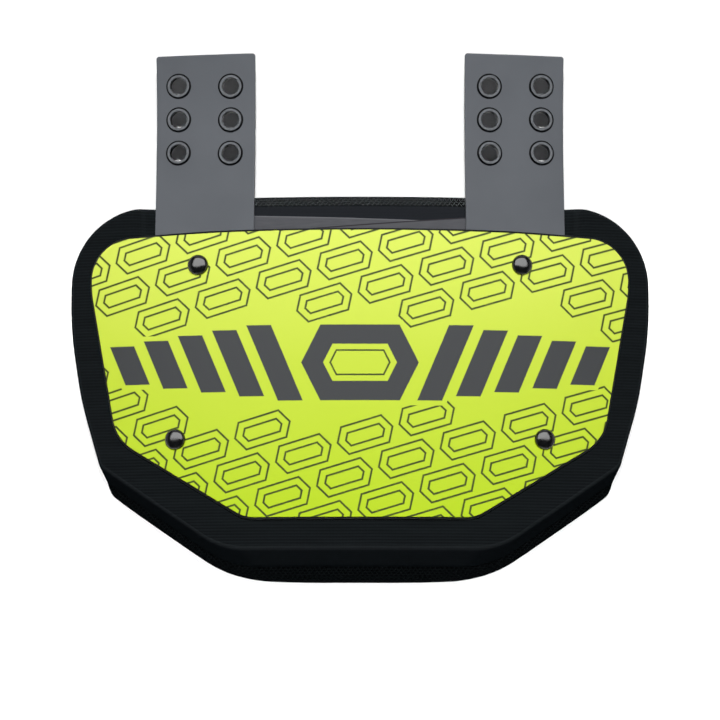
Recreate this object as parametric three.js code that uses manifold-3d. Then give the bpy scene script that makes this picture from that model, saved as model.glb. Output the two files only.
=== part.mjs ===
// A back plate for football shoulder pads: a stiff shell over a curved foam pad with a mesh lining,
// carried by two stiff straps whose eyelets bolt to the pads above.
// Millimetres. X runs across the plate, Y up towards the strap ends, Z out of the plate's face.
// It lies on its lined back. While it is drawn, Y is 0 at the top edge of the pad's face and
// the height over that face is 0 on it; the last lines move the whole to its own origin.
import * as THREE from "three";
import { mergeVertices } from "three/addons/utils/BufferGeometryUtils.js";
import Module from "manifold-3d";

const wasm = await Module();
wasm.setup();

// Driving dimensions: the stack
const clearance = 0.3; // between pieces that touch
const bendRadius = 650; // of the pad's face, about an axis behind it that runs along Y

// Driving dimensions: the pad, measured over the curve of its face
const padWidth = 335;
const padHeight = 195.4;
const padThickness = 15;
const padCornerRadius = 44;
const padEdgeRadius = 2.2;
const pressMargin = 2; // pressed foam that shows round the straps
const pressShoulder = 12; // from pressed foam up to full thickness

// Driving dimensions: the lining
const linerThickness = 11;
const linerEdgeRadius = 4.5;
const linerSkirt = 17.3; // how far it reaches below the pad's face
const linerCrest = 7.6; // how far it stands above the pad's face between the straps
const linerCrestFade = 38; // the length behind each strap over which the crest runs out

// Driving dimensions: the shell
const shellWidth = 309.6;
const shellHeight = 165.3;
const shellThickness = 3;
const shellDrop = 14.7; // from the pad's top edge down to the shell's
const shellCornerRadius = 24.4;
const shellBevel = 1.4;
const shellBevelDepth = 1.6;

// Driving dimensions: the straps and the bands that cross behind them
const strapWidth = 57;
const strapThickness = 2.2;
const strapSpacing = 177.4; // between their middles at the pad's top edge
const strapReach = 86.8; // above the pad's top edge
const strapTail = 58; // below it, most of it behind the shell
const strapToe = 0.008; // how much each strap turns in towards its end, for each millimetre
const strapCurl = 5.7; // how far the end stands off
const strapCornerRadius = 1.5;
const bandWidth = 38;
const bandLength = 228;
const bandThickness = 1;
const rearBandMiddle = -26.8; // its middle, from the pad's top edge
const rearBandSlope = -0.031;
const frontBandMiddle = -30.7;
const frontBandSlope = 0.075;

// Driving dimensions: eyelets and screws
const eyeletBore = 9.5;
const eyeletWall = 0.7;
const eyeletFlange = 14.6;
const eyeletRearFlange = 12.6;
const eyeletCrown = 1.3;
const eyeletColumns = 2;
const eyeletRows = 3;
const eyeletColumnPitch = 30.1;
const eyeletRowPitch = 19.3;
const eyeletFirstRow = 30.4; // above the pad's top edge
const eyeletOutset = 0.6; // of the pair's middle from the strap's
const eyeletRowRise = 0.034; // each row rises outwards by this share of its length
const screwHead = 11.3;
const screwHeadHeight = 3.4;
const screwShank = 6;
const screwFloor = 2; // foam below the end of each screw
const upperScrewOutset = 2.4; // from the strap's middle
const upperScrewDrop = 20.6; // below the shell's top edge
const lowerScrewInset = 51.4; // from the shell's widest place
const lowerScrewRise = 45.5; // above the shell's bottom edge

// How finely the curved pieces are divided
const columnsPerHalf = 22;
const filletStep = THREE.MathUtils.degToRad(7);
const roundSides = 16;
const bandSteps = 16;
const domeSteps = 5;
const sameX = 1e-6; // lengths below this count as none

// The pad's outline, right half, from its top corner down. The face column is the pad's front edge
// and the back column the lining's rear edge.
// across is a share of half the pad's width, down a share of its height, skirt a share of linerSkirt
// that the back adds, and round a share of padCornerRadius.
const padCorners = [
  { across: 1.0, backAcross: 1.0, down: 0.0, skirt: 0.0, round: 1.0, backRound: 1.0 },
  { across: 1.0, backAcross: 1.005, down: 0.349, skirt: 0.0, round: 4.5, backRound: 4.5 },
  { across: 0.956, backAcross: 0.985, down: 0.564, skirt: 0.0, round: 4.5, backRound: 4.5 },
  { across: 0.887, backAcross: 0.887, down: 0.758, skirt: 0.8, round: 0.14, backRound: 0.14 },
  { across: 0.469, backAcross: 0.43, down: 1.0, skirt: 1.0, round: 1.0, backRound: 1.6 },
];

// The shell's outline, right half. across is a share of half its width, down a share of its height
// and round a share of shellCornerRadius.
const shellCorners = [
  { across: 0.568, down: 0.005, round: 12 },
  { across: 1.0, down: 0.022, round: 1 },
  { across: 1.0, down: 0.206, round: 2.5 },
  { across: 0.896, down: 0.725, round: 1.15 },
  { across: 0.417, down: 1.0, round: 0.86 },
];

// The edge profiles, from the back round the wall to the front: rise is a share of the thickness,
// inset a share of the edge's own radius.
const padEdge = [
  { rise: 0, inset: 0.2 },
  { rise: 0.05, inset: 0 },
  { rise: 0.86, inset: 0 },
  { rise: 0.95, inset: 0.3 },
  { rise: 1, inset: 1 },
];
const linerEdge = [
  { rise: 0, inset: 1 },
  { rise: 0.09, inset: 0.36 },
  { rise: 0.3, inset: 0 },
  { rise: 0.78, inset: 0 },
  { rise: 0.93, inset: 0.15 },
  { rise: 1, inset: 0.45 },
];
const shellEdge = [
  { rise: 0, inset: 0 },
  { rise: 1 - shellBevelDepth / shellThickness, inset: 0 },
  { rise: 1, inset: 1 },
];
const sheetEdge = [
  { rise: 0, inset: 0 },
  { rise: 1, inset: 0 },
];

// Heights over the pad's face, worked out from the stack
const strapFront = 0;
const strapBack = strapFront - strapThickness;
const frontBandFront = strapBack - clearance;
const rearBandFront = frontBandFront - bandThickness - clearance;
const pressDepth = bandThickness + clearance - rearBandFront;
const shellBack = clearance;
const shellFront = shellBack + shellThickness;
const linerFront = -padThickness - clearance;
const linerBack = linerFront - linerThickness;
const stackDepth = -linerBack;

const { smoothstep, lerp } = THREE.MathUtils;

// Places a point of the flat layout, u across and y up, on the bent plate, h over the pad's face.
function bend(u, y, h) {
  const angle = u / bendRadius;
  const radius = bendRadius + h;
  return new THREE.Vector3(radius * Math.sin(angle), y, radius * Math.cos(angle) - bendRadius);
}

// The frame of a small round piece that sits on the bent plate, on a surface that climbs by slope
// for each millimetre along Y. Its own Z points out of that surface.
function seat(u, y, h, slope = 0) {
  const angle = u / bendRadius;
  const outward = new THREE.Vector3(Math.sin(angle), 0, Math.cos(angle));
  const along = new THREE.Vector3(0, 1, 0).addScaledVector(outward, slope).normalize();
  const across = new THREE.Vector3(Math.cos(angle), 0, -Math.sin(angle));
  const normal = new THREE.Vector3().crossVectors(across, along);
  return new THREE.Matrix4().makeBasis(across, along, normal).setPosition(bend(u, y, h));
}

function solidOf(geometry) {
  const bare = geometry.clone();
  bare.deleteAttribute("normal");
  bare.deleteAttribute("uv");
  const merged = mergeVertices(bare, 1e-4);
  return new wasm.Manifold(
    new wasm.Mesh({
      numProp: 3,
      vertProperties: merged.attributes.position.array,
      triVerts: new Uint32Array(merged.index.array),
    }),
  );
}

function geometryOf(solid) {
  const mesh = solid.getMesh();
  return new THREE.BufferGeometry()
    .setAttribute("position", new THREE.BufferAttribute(mesh.vertProperties, 3))
    .setIndex(new THREE.BufferAttribute(mesh.triVerts, 1));
}

// The right half of an outline through rounded corners, from the middle of its top edge to the
// middle of its bottom edge.
function roundedHalf(corners) {
  const points = [new THREE.Vector2(0, corners[0].y)];
  corners.forEach((corner, i) => {
    const here = new THREE.Vector2(corner.x, corner.y);
    const before = i > 0 ? corners[i - 1] : { x: 0, y: corner.y };
    const after = i < corners.length - 1 ? corners[i + 1] : { x: 0, y: corner.y };
    const back = new THREE.Vector2(before.x, before.y).sub(here).normalize();
    const ahead = new THREE.Vector2(after.x, after.y).sub(here).normalize();
    const half = Math.acos(THREE.MathUtils.clamp(back.dot(ahead), -1, 1)) / 2;
    const centre = back.clone().add(ahead).normalize().multiplyScalar(corner.r / Math.sin(half)).add(here);
    const start = here.clone().addScaledVector(back, corner.r / Math.tan(half)).sub(centre);
    const turn = Math.PI - 2 * half;
    const steps = Math.max(2, Math.ceil(turn / filletStep));
    for (let step = 0; step <= steps; step++) {
      const spoke = start.clone().rotateAround(new THREE.Vector2(), (-turn * step) / steps);
      points.push(spoke.add(centre));
    }
  });
  points.push(new THREE.Vector2(0, corners[corners.length - 1].y));
  return points;
}

// The lowest and highest y of a half outline at the distance x from its middle.
function spanAt(half, x) {
  const found = [];
  for (let i = 1; i < half.length; i++) {
    const [a, b] = [half[i - 1], half[i]];
    if (x < Math.min(a.x, b.x) - sameX || x > Math.max(a.x, b.x) + sameX) continue;
    if (Math.abs(a.x - b.x) < sameX) found.push(a.y, b.y);
    else found.push(lerp(a.y, b.y, (x - a.x) / (b.x - a.x)));
  }
  return { low: Math.min(...found), high: Math.max(...found) };
}

// The upper and lower sides of a whole outline, as matching points from left to right.
function sidesOf(half) {
  const reach = Math.max(...half.map((p) => p.x));
  const upper = [];
  const lower = [];
  for (let i = -columnsPerHalf; i <= columnsPerHalf; i++) {
    const x = reach * Math.sin((i / columnsPerHalf) * (Math.PI / 2));
    const span = spanAt(half, Math.abs(x));
    upper.push(new THREE.Vector2(x, span.high));
    lower.push(new THREE.Vector2(x, span.low));
  }
  return { upper, lower };
}

// The closed loop round a grid: its upper side, right end, lower side and left end.
function loopOf({ upper, lower }, rows) {
  const inner = rows.slice(1, -1);
  const last = upper.length - 1;
  const right = inner.map((t) => upper[last].clone().lerp(lower[last], t));
  const left = inner.map((t) => lower[0].clone().lerp(upper[0], 1 - t)).reverse();
  return [...upper, ...right, ...[...lower].reverse(), ...left];
}

// The loop moved inwards, square to itself, by inset.
function insetLoop(loop, inset) {
  return loop.map((point, i) => {
    const before = loop[(i + loop.length - 1) % loop.length];
    const after = loop[(i + 1) % loop.length];
    const along = after.clone().sub(before).normalize();
    return new THREE.Vector2(along.y, -along.x).multiplyScalar(inset).add(point);
  });
}

// A closed solid on the bent plate. sides(rise) gives its outline at that share of its thickness,
// edge its profile, rows the shares of its length at which its faces are divided, and back and
// front its two faces as heights over the pad's face.
function bentSolid({ sides, edge, edgeRadius, rows, back, front }) {
  const positions = [];
  const triangles = [];
  const place = (p, h) => positions.push(...bend(p.x, p.y, h)) / 3 - 1;
  const columns = sides(0).upper.length;
  const rings = edge.map(({ rise, inset }) => {
    const loop = insetLoop(loopOf(sides(rise), rows), inset * edgeRadius);
    return { loop, marks: loop.map((p) => place(p, lerp(back(p.x, p.y), front(p.x, p.y), rise))) };
  });
  for (let k = 1; k < rings.length; k++) {
    const [below, above] = [rings[k - 1].marks, rings[k].marks];
    below.forEach((mark, i) => {
      const next = (i + 1) % below.length;
      triangles.push(mark, above[i], below[next], above[i], above[next], below[next]);
    });
  }
  const cap = ({ loop, marks }, height, facing) => {
    const lastRow = rows.length - 1;
    const lastColumn = columns - 1;
    const startLower = columns + lastRow - 1;
    const grid = rows.map((t, r) =>
      Array.from({ length: columns }, (_, c) => {
        const foot = startLower + lastColumn - c;
        if (r === 0) return marks[c];
        if (r === lastRow) return marks[foot];
        if (c === lastColumn) return marks[lastColumn + r];
        if (c === 0) return marks[marks.length - r];
        const p = loop[c].clone().lerp(loop[foot], t);
        return place(p, height(p.x, p.y));
      }),
    );
    for (let r = 1; r < grid.length; r++)
      for (let c = 1; c < columns; c++) {
        const [a, b, d, e] = [grid[r - 1][c - 1], grid[r][c - 1], grid[r - 1][c], grid[r][c]];
        if (facing > 0) triangles.push(a, b, d, b, e, d);
        else triangles.push(a, d, b, b, d, e);
      }
  };
  cap(rings[0], back, -1);
  cap(rings[rings.length - 1], front, 1);
  return new THREE.BufferGeometry()
    .setAttribute("position", new THREE.Float32BufferAttribute(positions, 3))
    .setIndex(triangles);
}

// Cuts a round hole at each of the given frames.
function drill(geometry, frames, diameter, depth) {
  const bit = new THREE.CylinderGeometry(diameter / 2, diameter / 2, depth, roundSides);
  bit.rotateX(Math.PI / 2);
  const drilled = frames.reduce(
    (solid, frame) => solid.subtract(solidOf(bit.clone().applyMatrix4(frame))),
    solidOf(geometry),
  );
  return geometryOf(drilled);
}

// A ring or knob turned about its own Z from a profile of radius and height.
function turned(profile) {
  const geometry = new THREE.LatheGeometry(
    profile.map(([r, z]) => new THREE.Vector2(r, z)),
    roundSides,
  );
  return geometry.rotateX(Math.PI / 2);
}

const group = new THREE.Group();

function add(name, geometry, material, frame = new THREE.Matrix4()) {
  const mesh = new THREE.Mesh(geometry, material);
  mesh.name = name;
  frame.decompose(mesh.position, mesh.quaternion, mesh.scale);
  group.add(mesh);
}

const finish = (color, roughness, metalness = 0) =>
  new THREE.MeshStandardMaterial({ color, roughness, metalness });
const colours = {
  shell: 0xd8ec60,
  pad: 0x1c2024,
  liner: 0x121518,
  strap: 0x63666b,
  band: 0x515458,
  metal: 0x16181a,
};

// Outlines of the pad and its lining. level is 0 at the lining's back and 1 at the pad's face.
function padSides(level) {
  const corners = padCorners.map((corner) => ({
    x: (padWidth / 2) * lerp(corner.backAcross, corner.across, level),
    y: -padHeight * corner.down - linerSkirt * corner.skirt * (1 - level),
    r: padCornerRadius * lerp(corner.backRound, corner.round, level),
  }));
  return sidesOf(roundedHalf(corners));
}

const levelAt = (height) => 1 + height / stackDepth;

// The foam is pressed where the straps and bands run over it.
const pressHalfWidth = (strapSpacing + strapWidth) / 2 + pressMargin;
const pressEnd = -strapTail - pressMargin;
function padFace(u, y) {
  const across = 1 - smoothstep(Math.abs(u), pressHalfWidth, pressHalfWidth + pressShoulder);
  const down = smoothstep(y, pressEnd - pressShoulder, pressEnd);
  return -pressDepth * across * down;
}

// The crest of the lining that shows above the pad between the straps.
function linerSides(level) {
  const { upper, lower } = padSides(level);
  const crestEnd = (strapSpacing - strapWidth) / 2 + linerCrestFade;
  upper.forEach((p) => {
    p.y += linerCrest * (1 - smoothstep(Math.abs(p.x), crestEnd - linerCrestFade, crestEnd));
  });
  return { upper, lower };
}

// The middle line of the strap on the side that sign gives, at the height y
const strapMiddle = (sign, y) => sign * (strapSpacing / 2 - strapToe * y);

// Places of the screws on the shell: the upper ones go through the straps as well.
const upperScrewY = -shellDrop - upperScrewDrop;
const upperScrewU = strapMiddle(1, upperScrewY) + upperScrewOutset;
const lowerScrewY = -shellDrop - shellHeight + lowerScrewRise;
const lowerScrewU = shellWidth / 2 - lowerScrewInset;
const screws = [
  { name: "screw_upper_left", sign: -1, u: -upperScrewU, y: upperScrewY, upper: true },
  { name: "screw_upper_right", sign: 1, u: upperScrewU, y: upperScrewY, upper: true },
  { name: "screw_lower_left", sign: -1, u: -lowerScrewU, y: lowerScrewY, upper: false },
  { name: "screw_lower_right", sign: 1, u: lowerScrewU, y: lowerScrewY, upper: false },
].map((screw) => ({ ...screw, frame: seat(screw.u, screw.y, shellFront + clearance) }));
const screwHole = screwShank + 2 * clearance;
const screwDepth = shellFront + clearance + padThickness - screwFloor;
const throughAll = 4 * stackDepth;

// Rows of the pad's face, close together where the pressed foam ends
const pressShare = -pressEnd / padHeight;
const shoulderShare = pressShoulder / padHeight;
const padRows = [
  0,
  pressShare / 3,
  (2 * pressShare) / 3,
  pressShare,
  pressShare + shoulderShare / 4,
  pressShare + shoulderShare / 2,
  pressShare + (3 * shoulderShare) / 4,
  pressShare + shoulderShare,
  lerp(pressShare + shoulderShare, 1, 1 / 3),
  lerp(pressShare + shoulderShare, 1, 2 / 3),
  1,
];

// The pad
const pad = bentSolid({
  sides: (rise) => padSides(levelAt(-padThickness * (1 - rise))),
  edge: padEdge,
  edgeRadius: padEdgeRadius,
  rows: padRows,
  back: () => -padThickness,
  front: padFace,
});
add("pad", drill(pad, screws.map((s) => s.frame), screwHole, throughAll), finish(colours.pad, 0.8));

// The liner
const liner = bentSolid({
  sides: (rise) => linerSides(levelAt(lerp(linerBack, linerFront, rise))),
  edge: linerEdge,
  edgeRadius: linerEdgeRadius,
  rows: [0, 1],
  back: () => linerBack,
  front: () => linerFront,
});
add("liner", liner, finish(colours.liner, 0.95));

// The shell
const shellOutline = sidesOf(
  roundedHalf(
    shellCorners.map((corner) => ({
      x: (shellWidth / 2) * corner.across,
      y: -shellDrop - shellHeight * corner.down,
      r: shellCornerRadius * corner.round,
    })),
  ),
);
const shell = bentSolid({
  sides: () => shellOutline,
  edge: shellEdge,
  edgeRadius: shellBevel,
  rows: [0, 1],
  back: () => shellBack,
  front: () => shellFront,
});
add("shell", drill(shell, screws.map((s) => s.frame), screwHole, throughAll), finish(colours.shell, 0.35));

// The two bands that cross behind the straps
function bandSides(middle, slope) {
  const upper = [];
  const lower = [];
  for (let i = 0; i <= bandSteps; i++) {
    const x = bandLength * (i / bandSteps - 1 / 2);
    upper.push(new THREE.Vector2(x, middle + slope * x + bandWidth / 2));
    lower.push(new THREE.Vector2(x, middle + slope * x - bandWidth / 2));
  }
  return { upper, lower };
}

for (const [name, middle, slope, front] of [
  ["band_rear", rearBandMiddle, rearBandSlope, rearBandFront],
  ["band_front", frontBandMiddle, frontBandSlope, frontBandFront],
]) {
  const band = bentSolid({
    sides: () => bandSides(middle, slope),
    edge: sheetEdge,
    edgeRadius: 0,
    rows: [0, 1],
    back: () => front - bandThickness,
    front: () => front,
  });
  const holes = screws.filter((s) => s.upper).map((s) => s.frame);
  add(name, drill(band, holes, screwHole, throughAll), finish(colours.band, 0.6));
}

// Heights of the eyelet rows over the pad's top edge, at the middle of each row
const eyeletHeights = Array.from({ length: eyeletRows }, (_, row) => eyeletFirstRow + eyeletRowPitch * row);

// The straps: flat to the pad's top edge, then curling off it. Their columns are shares of the
// width, with a flat stretch between the eyelets, and their rows follow the eyelets.
const strapColumns = [0, 0.012, 0.03, 0.38, 0.62, 0.97, 0.988, 1];
const strapRows = [
  strapReach,
  (strapReach + eyeletHeights[eyeletRows - 1]) / 2,
  ...[...eyeletHeights].reverse(),
  eyeletFirstRow / 2,
  0,
  -strapTail,
].map((y) => (strapReach - y) / (strapReach + strapTail));
const strapLift = (y) => strapCurl * Math.max(0, y / strapReach) ** 3;
const strapSlope = (y) => (3 * strapCurl * Math.max(0, y / strapReach) ** 2) / strapReach;

function strapSides(sign) {
  const upper = [];
  const lower = [];
  for (const share of strapColumns) {
    const offset = strapWidth * (share - 1 / 2);
    const fromEdge = strapCornerRadius - (strapWidth / 2 - Math.abs(offset));
    const corner =
      fromEdge > 0 ? strapCornerRadius - Math.sqrt(strapCornerRadius ** 2 - fromEdge ** 2) : 0;
    upper.push(new THREE.Vector2(strapMiddle(sign, strapReach) + offset, strapReach - corner));
    lower.push(new THREE.Vector2(strapMiddle(sign, -strapTail) + offset, corner - strapTail));
  }
  return { upper, lower };
}

// One eyelet, its own height 0 on the strap's front face
const eyeletFlangeUnder = clearance;
const eyeletRearOver = -strapThickness - clearance;
const boreRadius = eyeletBore / 2;
const barrelRadius = boreRadius + eyeletWall;
const crestRadius = (boreRadius + eyeletFlange / 2) / 2;
const eyelet = turned([
  [boreRadius, eyeletRearOver - eyeletWall],
  [eyeletRearFlange / 2 - eyeletWall, eyeletRearOver - eyeletWall],
  [eyeletRearFlange / 2, eyeletRearOver],
  [barrelRadius, eyeletRearOver],
  [barrelRadius, eyeletFlangeUnder],
  [eyeletFlange / 2, eyeletFlangeUnder],
  [crestRadius, eyeletCrown],
  [boreRadius, eyeletCrown / 2],
  [boreRadius, eyeletRearOver - eyeletWall],
]);

for (const [side, sign] of [
  ["left", -1],
  ["right", 1],
]) {
  const strap = bentSolid({
    sides: () => strapSides(sign),
    edge: sheetEdge,
    edgeRadius: 0,
    rows: strapRows,
    back: (u, y) => strapBack + strapLift(y),
    front: (u, y) => strapFront + strapLift(y),
  });
  const eyelets = [];
  eyeletHeights.forEach((height, row) => {
    for (let column = 0; column < eyeletColumns; column++) {
      const outward = eyeletOutset + eyeletColumnPitch * (column - (eyeletColumns - 1) / 2);
      const y = height + eyeletRowRise * outward;
      const u = strapMiddle(sign, y) + sign * outward;
      eyelets.push({
        name: `eyelet_${side}_${row + 1}_${column + 1}`,
        frame: seat(u, y, strapFront + strapLift(y), strapSlope(y)),
      });
    }
  });
  const screwHoles = screws.filter((s) => s.upper && s.sign === sign).map((s) => s.frame);
  const eyeletFrames = eyelets.map((e) => e.frame);
  const punched = drill(strap, eyeletFrames, 2 * (barrelRadius + clearance), 4 * strapThickness);
  add("strap_" + side, drill(punched, screwHoles, screwHole, throughAll), finish(colours.strap, 0.5));
  for (const { name, frame } of eyelets) add(name, eyelet, finish(colours.metal, 0.25, 0.6), frame);
}

// The screws: domed heads on plain shanks
const headRadius = screwHead / 2;
const domeRadius = (headRadius ** 2 + screwHeadHeight ** 2) / (2 * screwHeadHeight);
const domeHalfAngle = Math.asin(headRadius / domeRadius);
const domeProfile = Array.from({ length: domeSteps + 1 }, (_, i) => {
  const angle = (domeHalfAngle * (domeSteps - i)) / domeSteps;
  return [domeRadius * Math.sin(angle), screwHeadHeight - domeRadius * (1 - Math.cos(angle))];
});
const screw = turned([
  [0, -screwDepth],
  [screwShank / 2, -screwDepth],
  [screwShank / 2, 0],
  ...domeProfile,
]);
for (const { name, frame } of screws) add(name, screw, finish(colours.metal, 0.15), frame);

// The origin is the middle of the underside of the whole, on the surface that it lies on.
group.updateMatrixWorld(true);
const box = new THREE.Box3().setFromObject(group, true);
const middle = box.getCenter(new THREE.Vector3());
group.position.set(-middle.x, -middle.y, -box.min.z);

export default group;
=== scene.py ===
import math

import bpy
import numpy as np
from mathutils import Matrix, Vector


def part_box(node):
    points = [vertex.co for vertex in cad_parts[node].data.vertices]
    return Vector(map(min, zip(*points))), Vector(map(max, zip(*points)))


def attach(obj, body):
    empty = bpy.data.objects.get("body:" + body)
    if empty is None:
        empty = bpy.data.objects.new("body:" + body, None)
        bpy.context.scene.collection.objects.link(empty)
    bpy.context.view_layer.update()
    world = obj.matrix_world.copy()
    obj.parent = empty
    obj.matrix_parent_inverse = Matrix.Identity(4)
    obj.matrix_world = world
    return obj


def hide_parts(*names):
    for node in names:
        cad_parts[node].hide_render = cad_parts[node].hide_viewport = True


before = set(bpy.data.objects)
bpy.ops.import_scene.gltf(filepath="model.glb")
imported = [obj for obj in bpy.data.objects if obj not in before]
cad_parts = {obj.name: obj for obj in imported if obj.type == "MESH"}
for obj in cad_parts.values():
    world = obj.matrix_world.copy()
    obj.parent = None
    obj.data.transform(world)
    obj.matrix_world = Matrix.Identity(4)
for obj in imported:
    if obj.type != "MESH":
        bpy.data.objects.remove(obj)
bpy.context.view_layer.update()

CLEARANCE = 0.3
BEND = 650.0
PAD_WIDTH, PAD_HEIGHT, PAD_THICKNESS, PAD_ROUND, PAD_EDGE = 335.0, 195.4, 15.0, 44.0, 2.2
PRESS_DEPTH, PRESS_MARGIN, PRESS_SHOULDER = 5.1, 2.0, 12.0
LINER_THICKNESS, LINER_EDGE, LINER_SKIRT, LINER_CREST, LINER_FADE = 11.0, 4.5, 17.3, 7.6, 38.0
SHELL_WIDTH, SHELL_HEIGHT, SHELL_THICKNESS, SHELL_DROP = 309.6, 165.3, 3.0, 14.7
SHELL_ROUND, SHELL_BEVEL, SHELL_BEVEL_DEPTH, SHELL_CROWN = 24.4, 1.4, 1.6, 0.9
STRAP_WIDTH, STRAP_THICKNESS, STRAP_SPACING, STRAP_REACH, STRAP_TAIL = 57.0, 2.2, 177.4, 86.8, 58.0
STRAP_TOE, STRAP_CURL, STRAP_ROUND = 0.008, 5.7, 1.5
BAND_WIDTH, BAND_LENGTH, BAND_THICKNESS = 38.0, 228.0, 1.0
BORE, FLANGE, REAR_FLANGE, CROWN = 9.5, 14.6, 12.6, 1.3
EYELET_WALL, EYELET_OUTSET, EYELET_RISE = 0.7, 0.6, 0.034
EYELET_ROWS, EYELET_COLUMNS = (30.4, 49.7, 69.0), (-15.05, 15.05)
SCREW_HEAD, SCREW_HEIGHT, SCREW_SHANK, SCREW_FOOT = 11.8, 3.4, 6.0, -16.6
SCREWS = {"upper": (91.4, -35.3), "lower": (103.4, -134.5)}
PAD_COUNT, SHELL_COUNT = 640, 560  # points round each outline

# The lining's lower edge bulges from the first to the second distance below the pad's top edge, and
# less about its two lowest corners, which lie at BULGE_CORNER from the middle, BULGE_SPREAD wide.
LINER_BULGE, BULGE_RISE, BULGE_CORNER, BULGE_SPREAD = 2.3, (138.0, 172.0), 66, 22
# Its back swells by LINER_SWELL at most; the simulated form has one point for each LINER_SHARE.
LINER_SWELL, LINER_SHARE, LINER_STEPS = 3.0, 4, 24
LINER_FRONT = -PAD_THICKNESS - CLEARANCE
LINER_BACK = LINER_FRONT - LINER_THICKNESS
SHELL_FRONT = CLEARANCE + SHELL_THICKNESS
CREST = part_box("shell")[1].z * 1000 - SHELL_FRONT  # the face's highest place above the floor
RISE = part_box("pad")[1].y * 1000  # the face's top edge in the frame

# Outlines, right half, from the top corner down: across, down, skirt and round as shares of the
# piece's half width, height, skirt and corner radius, at the lining's back and at the pad's face.
PAD_BACK = (
    (1.0, 0, 0, 1.0), (1.005, 0.349, 0, 4.5), (0.985, 0.564, 0, 4.5),
    (0.887, 0.758, 0.8, 0.14), (0.43, 1, 1, 1.6),
)
PAD_FACE = (
    (1.0, 0, 0, 1.0), (1.0, 0.349, 0, 4.5), (0.956, 0.564, 0, 4.5),
    (0.887, 0.758, 0.8, 0.14), (0.469, 1, 1, 1.0),
)
# The shell's: across, down and round as shares of its half width, height and corner radius.
SHELL_CORNERS = (
    (0.568, 0.005, 12), (1.0, 0.022, 1), (1.0, 0.206, 2.5),
    (0.896, 0.725, 1.15), (0.417, 1.0, 0.86),
)


# Surfaces

def smooth(x, low, high):
    """0 below low, 1 above high, and 3t² - 2t³ between them."""
    t = np.clip((x - low) / (high - low), 0, 1)
    return t * t * (3 - 2 * t)


def placed(u, y, h):
    """The bent plate: u is carried round a cylinder of radius BEND + h about an axis along Y."""
    angle = u / BEND
    radius = BEND + h
    place = (radius * np.sin(angle), y + RISE, radius * np.cos(angle) - BEND + CREST)
    return np.stack(np.broadcast_arrays(*place), -1) / 1000


def unit(v):
    """Each vector divided by its length."""
    return v / np.linalg.norm(v, axis=-1, keepdims=True)


def rounded(corners, count):
    """A closed outline through rounded corners, the left half mirrored from the right, at count
    even steps clockwise from the middle of its top: at each corner an arc touches both runs."""
    arc_steps = 24
    spots = [np.array(corner[:2]) for corner in corners]
    runs = [np.array([[0.0, spots[0][1]]])]
    for i, here in enumerate(spots):
        middle = np.array([0.0, here[1]])
        back = unit((spots[i - 1] if i else middle) - here)
        ahead = unit((spots[i + 1] if i + 1 < len(spots) else middle) - here)
        half = np.arccos(np.clip(back @ ahead, -1, 1)) / 2
        radius = corners[i][2]
        centre = here + unit(back + ahead) * radius / np.sin(half)
        x, y = here + back * radius / np.tan(half) - centre
        turn = -(np.pi - 2 * half) * np.linspace(0, 1, arc_steps)
        arc = (x * np.cos(turn) - y * np.sin(turn), x * np.sin(turn) + y * np.cos(turn))
        runs.append(centre + np.stack(arc, -1))
    runs.append(np.array([[0.0, spots[-1][1]]]))
    right = np.concatenate(runs)
    loop = np.concatenate([right, right[::-1] * [-1, 1]])
    way = np.concatenate([[0], np.cumsum(np.linalg.norm(np.diff(loop, axis=0), axis=1))])
    steps = np.linspace(0, way[-1], count, endpoint=False)
    return np.stack([np.interp(steps, way, loop[:, 0]), np.interp(steps, way, loop[:, 1])], -1)


def outward(loop):
    """The outward direction at each point of a clockwise loop, square to its neighbours' run."""
    along = unit(np.roll(loop, -1, 0) - np.roll(loop, 1, 0))
    return np.stack([-along[:, 1], along[:, 0]], -1)


def pad_outline(h, count):
    """The pad's and lining's outline at the height h: the corners slide straight from PAD_BACK to
    PAD_FACE."""
    level = 1 - h / LINER_BACK
    corners = np.array(PAD_BACK) * (1 - level) + np.array(PAD_FACE) * level
    across, down, skirt, turn = corners.T
    drop = -PAD_HEIGHT * down - LINER_SKIRT * (1 - level) * skirt
    return rounded(np.stack([PAD_WIDTH / 2 * across, drop, PAD_ROUND * turn], -1).tolist(), count)


def mesh_piece(name, points, faces, cloth=None):
    """A piece of the given points (in metres) and faces, shaded smooth, with the cloth's own
    coordinates in millimetres as an attribute where they are given."""
    mesh = bpy.data.meshes.new(name)
    faces = [face for block in faces for face in block.tolist()]
    mesh.from_pydata(points.reshape(-1, 3).tolist(), [], faces)
    if cloth is not None:
        attribute = mesh.attributes.new("cloth", "FLOAT_VECTOR", "POINT")
        flat = np.concatenate([cloth, np.zeros((len(cloth), 1))], 1)
        attribute.data.foreach_set("vector", flat.astype(np.float32).ravel())
    mesh.polygons.foreach_set("use_smooth", np.ones(len(mesh.polygons), bool))
    piece = bpy.data.objects.new(name, mesh)
    bpy.context.scene.collection.objects.link(piece)
    return piece


def strip_faces(rings, count, start=0):
    """Four-sided faces between neighbouring closed rings of count points, facing out where the
    rings run clockwise and climb."""
    low = start + np.arange(rings - 1)[:, None] * count + np.arange(count)
    ahead = start + np.arange(rings - 1)[:, None] * count + (np.arange(count) + 1) % count
    return np.stack([low, low + count, ahead + count, ahead], -1).reshape(-1, 4)


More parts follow.
